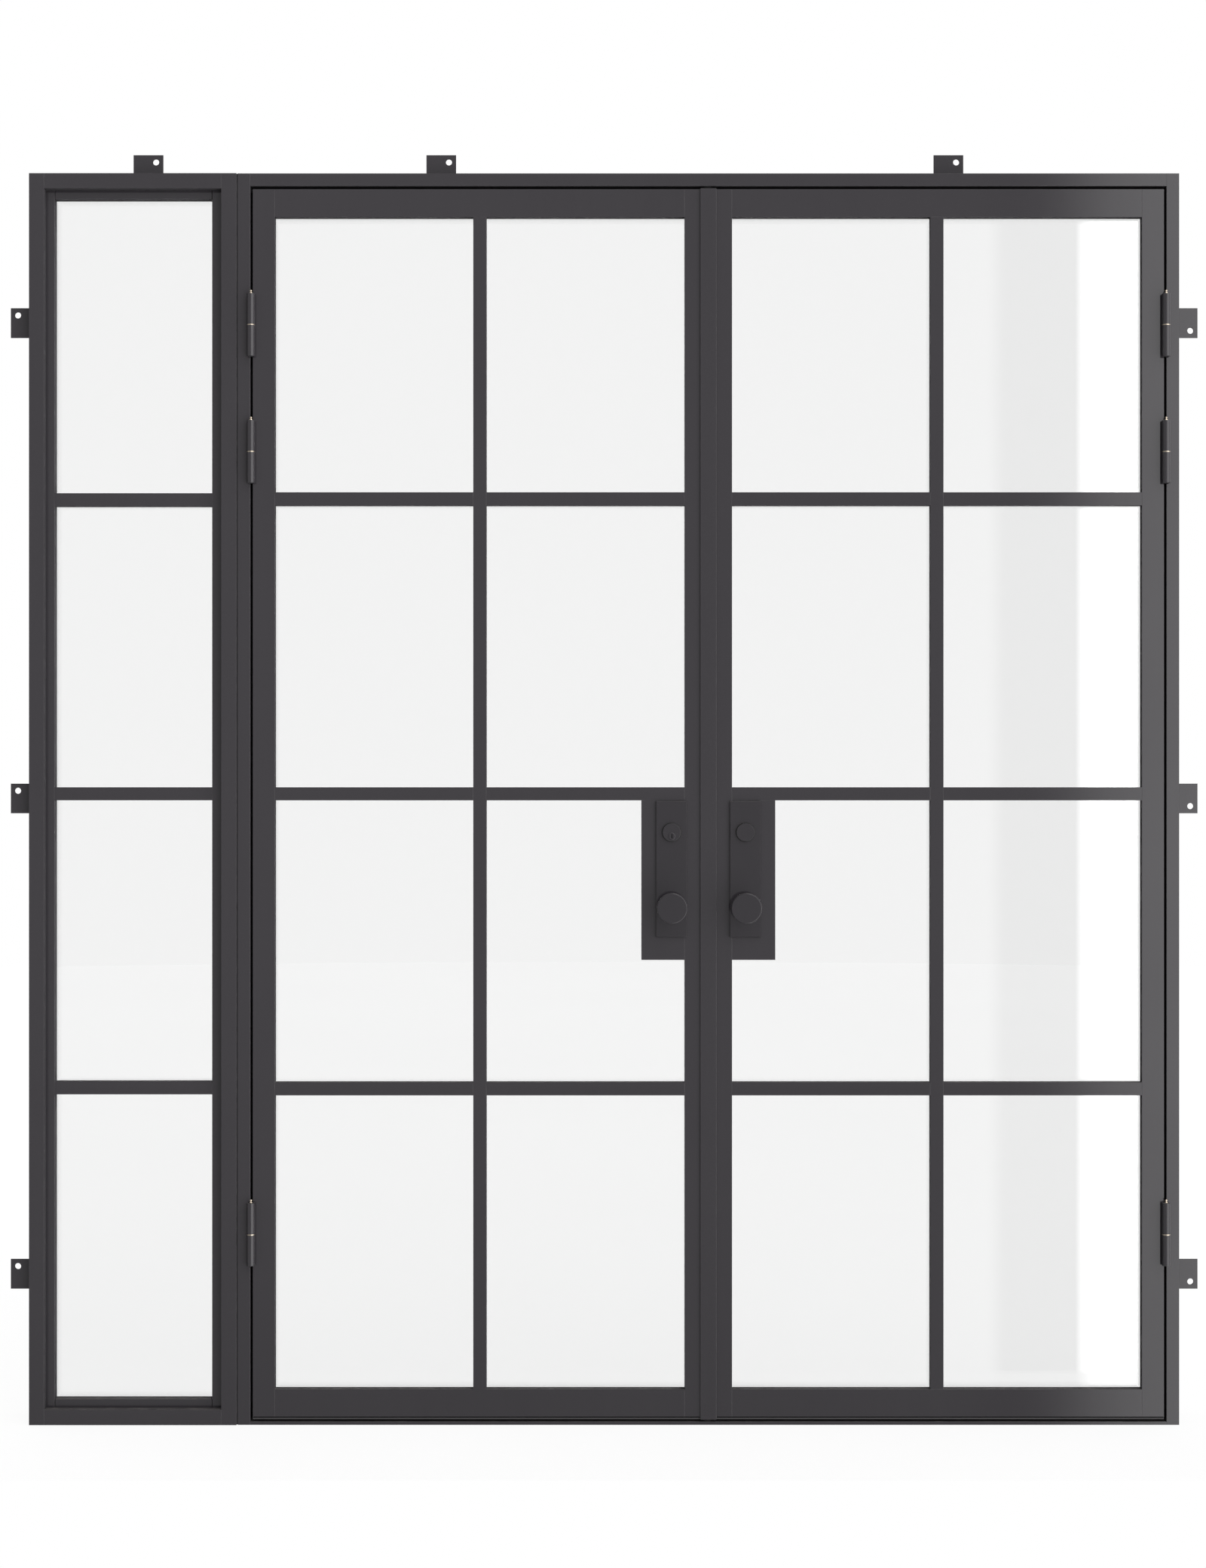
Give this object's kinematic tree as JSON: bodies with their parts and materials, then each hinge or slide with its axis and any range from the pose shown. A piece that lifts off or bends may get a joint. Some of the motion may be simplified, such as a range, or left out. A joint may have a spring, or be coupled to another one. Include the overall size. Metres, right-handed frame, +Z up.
{
  "type": "steel double door with sidelight",
  "caption": "Tall black steel double door with divided glass panes, a fixed sidelight on its left, barrel hinges, round knobs and welded anchor tabs round the frame.",
  "frame": {"origin": "on the underside of the door frame's threshold, midway across the whole width and midway through the frame's depth", "axes": "+X to the right seen from the hinge and knob side, +Y away from that side through the doorway, +Z up"},
  "size_m": [2.317, 0.2, 2.473],
  "materials": {
    "steel_paint": "satin",
    "hardware_black": "matte",
    "glass": "gloss",
    "gasket_rubber": "matte",
    "hinge_brass": "satin"
  },
  "bodies": {
    "frame": {"door_jamb_left": "steel_paint", "door_jamb_right": "steel_paint", "door_head": "steel_paint", "threshold": "steel_paint", "door_stops": "steel_paint", "door_gaskets": "gasket_rubber", "sidelight_jamb_left": "steel_paint", "sidelight_jamb_right": "steel_paint", "sidelight_rails": "steel_paint", "sidelight_beads": "steel_paint", "sidelight_muntins": "steel_paint", "sidelight_glass": "glass", "anchor_tabs": "steel_paint", "frame_hinge_knuckles": "steel_paint", "hinge_pins": "hinge_brass"},
    "left_leaf": {"left_leaf_hinge_stile": "steel_paint", "left_leaf_meeting_stile": "steel_paint", "left_leaf_rails": "steel_paint", "left_leaf_mullion": "steel_paint", "left_leaf_muntins": "steel_paint", "left_leaf_glass": "glass", "left_leaf_glazing_beads": "steel_paint", "left_leaf_lock_box": "steel_paint", "left_leaf_sweep": "gasket_rubber", "left_leaf_escutcheons": "hardware_black", "left_leaf_knuckles": "steel_paint", "left_leaf_grease_nipples": "hinge_brass", "left_leaf_lock_cylinders": "hardware_black", "astragal": "steel_paint"},
    "right_leaf": {"right_leaf_hinge_stile": "steel_paint", "right_leaf_meeting_stile": "steel_paint", "right_leaf_rails": "steel_paint", "right_leaf_mullion": "steel_paint", "right_leaf_muntins": "steel_paint", "right_leaf_glass": "glass", "right_leaf_glazing_beads": "steel_paint", "right_leaf_lock_box": "steel_paint", "right_leaf_sweep": "gasket_rubber", "right_leaf_escutcheons": "hardware_black", "right_leaf_knuckles": "steel_paint", "right_leaf_grease_nipples": "hinge_brass", "right_leaf_blank_cylinders": "hardware_black", "right_leaf_knobs": "hardware_black"},
    "left_knob_set": {"left_knobs": "hardware_black"}
  },
  "joints": [
    {"name": "left_leaf_swing", "type": "hinge", "parent": "frame", "child": "left_leaf", "pos_m": [-0.6855, -0.079, 1.2], "axis": [0, 0, -1], "range_deg": [0, 110]},
    {"name": "right_leaf_swing", "type": "hinge", "parent": "frame", "child": "right_leaf", "pos_m": [1.0905, -0.079, 1.2], "axis": [0, 0, 1], "range_deg": [0, 110]},
    {"name": "left_knob_turn", "type": "hinge", "parent": "left_leaf", "child": "left_knob_set", "pos_m": [0.1308, -0.1, 1.00605], "axis": [0, 1, 0], "range_deg": [-50, 50], "stiffness_Nm_per_rad": 1}
  ]
}
